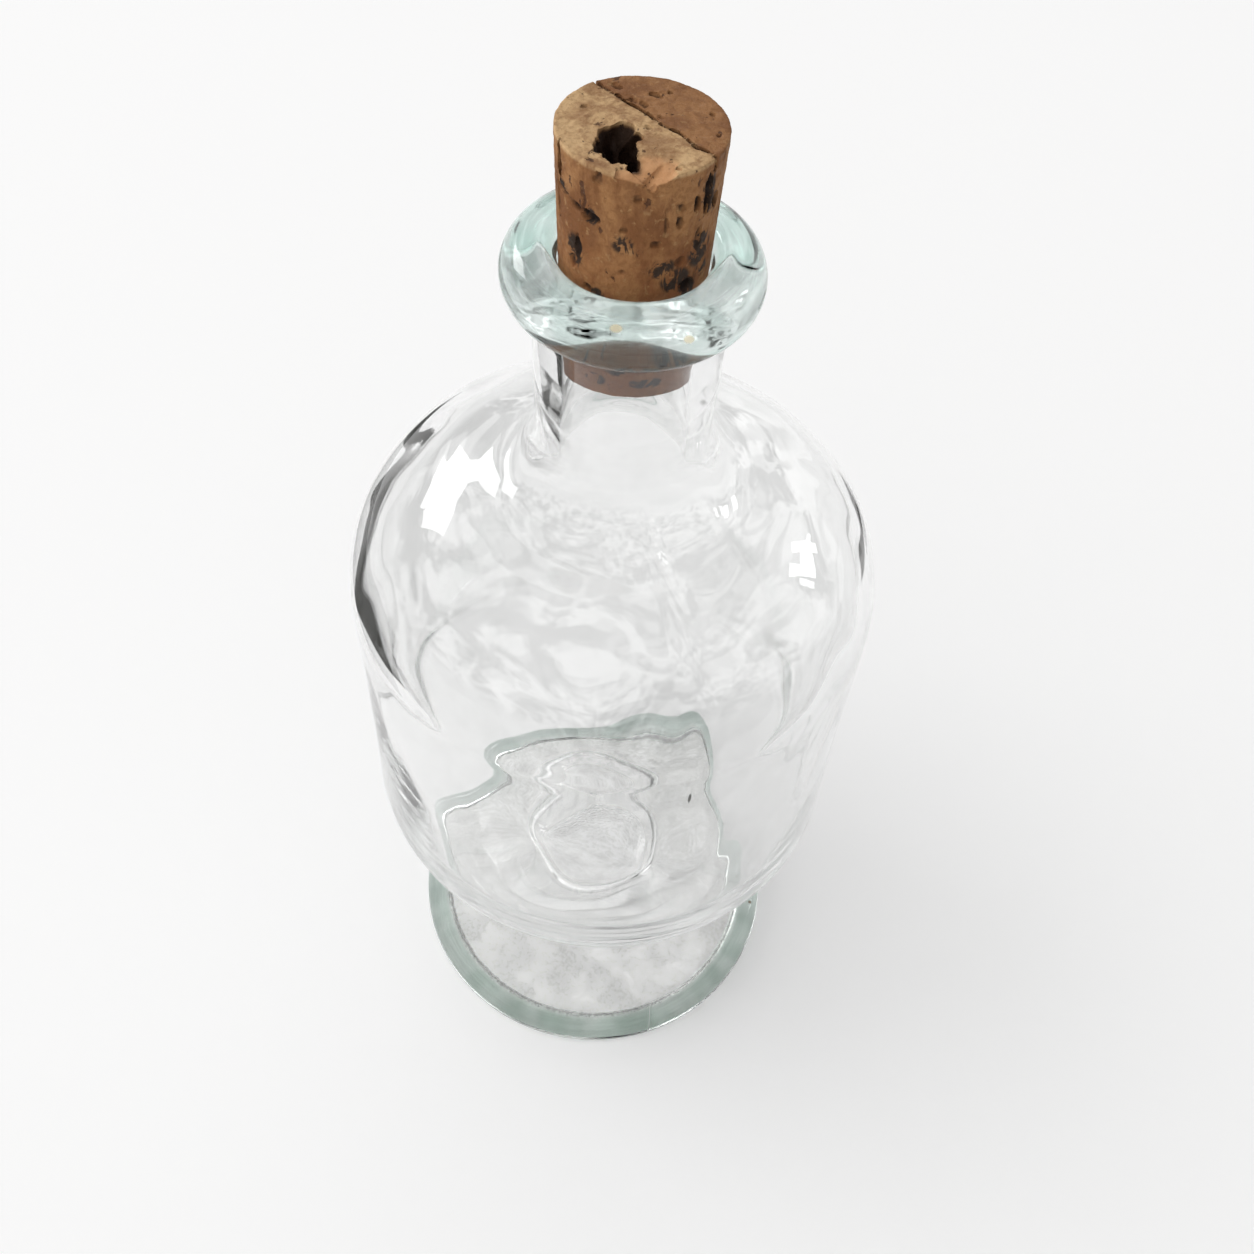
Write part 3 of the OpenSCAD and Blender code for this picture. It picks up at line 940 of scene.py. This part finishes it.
def add_window(name, azimuth, elevation, distance, width, height, power, mirrored=True):
    """A flat lamp that faces the bottle; it shows only in the glass, or else lights only matt things."""
    lamp = bpy.data.lights.new(name, "AREA")
    lamp.shape = "RECTANGLE"
    lamp.size = width
    lamp.size_y = height
    lamp.energy = power
    window = bpy.data.objects.new(name, lamp)
    bpy.context.scene.collection.objects.link(window)
    a, e = math.radians(azimuth), math.radians(elevation)
    direction = Vector((math.cos(a) * math.cos(e), math.sin(a) * math.cos(e), math.sin(e)))
    middle_of_bottle = Vector((0, 0, 0.1))
    window.location = middle_of_bottle + direction * distance
    window.rotation_euler = direction.to_track_quat("Z", "Y").to_euler()
    window.visible_diffuse = not mirrored
    window.visible_glossy = mirrored
    window.visible_transmission = mirrored


def add_camera():
    """The photograph's viewpoint: looking down at the bottle, a little turned and tilted."""
    pitch, yaw, roll = math.radians(53.712), math.radians(1.302), math.radians(4.752)
    place = (0, -0.13161, 0.28346)
    forward = Vector((math.sin(yaw) * math.cos(pitch), math.cos(yaw) * math.cos(pitch), -math.sin(pitch)))
    level = forward.cross(Vector((0, 0, 1))).normalized()
    upward = level.cross(forward)
    right = math.cos(roll) * level + math.sin(roll) * upward
    top = math.cos(roll) * upward - math.sin(roll) * level
    camera = bpy.data.objects.new("camera", bpy.data.cameras.new("camera"))
    bpy.context.scene.collection.objects.link(camera)
    turn = Matrix((right, top, -forward)).transposed().to_4x4()
    camera.matrix_world = Matrix.Translation(place) @ turn
    camera.data.lens = 36
    camera.data.sensor_width = 36
    camera.data.clip_start = 0.01
    camera.data.clip_end = 100
    bpy.context.scene.camera = camera


add_camera()
make_floor()
make_world()
add_dark_card("dark_card_left", (-0.45, -0.03), (-0.15, 0.36))
add_dark_card("dark_card_right", (0.16, 0.17), (0.24, 0.24))
add_window("tall_window", 136, 30, 5.0, 1.7, 1.5, 50)
add_window("far_window_left", 19.5, 30, 5.0, 0.32, 1.0, 8.0)
add_window("far_window_right", 28.5, 28, 5.0, 0.32, 1.0, 8.0)
add_window("soft_side_light", 172, 52, 3.0, 1.8, 1.2, 12, mirrored=False)

blotches = make_blotches_group()
bottle = make_bottle()
bottle.data.materials.append(make_glass())
cork = make_cork()
cork.data.materials.append(make_cork_finish(blotches))

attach(bottle, "bottle")
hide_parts("bottle")
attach(cork, "cork")
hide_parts("cork")

scene = bpy.context.scene
scene.view_settings.view_transform = "Standard"
scene.cycles.max_bounces = GLASS_BOUNCES
scene.cycles.diffuse_bounces = 1
scene.cycles.glossy_bounces = GLASS_BOUNCES
scene.cycles.transmission_bounces = GLASS_BOUNCES
scene.cycles.transparent_max_bounces = 16
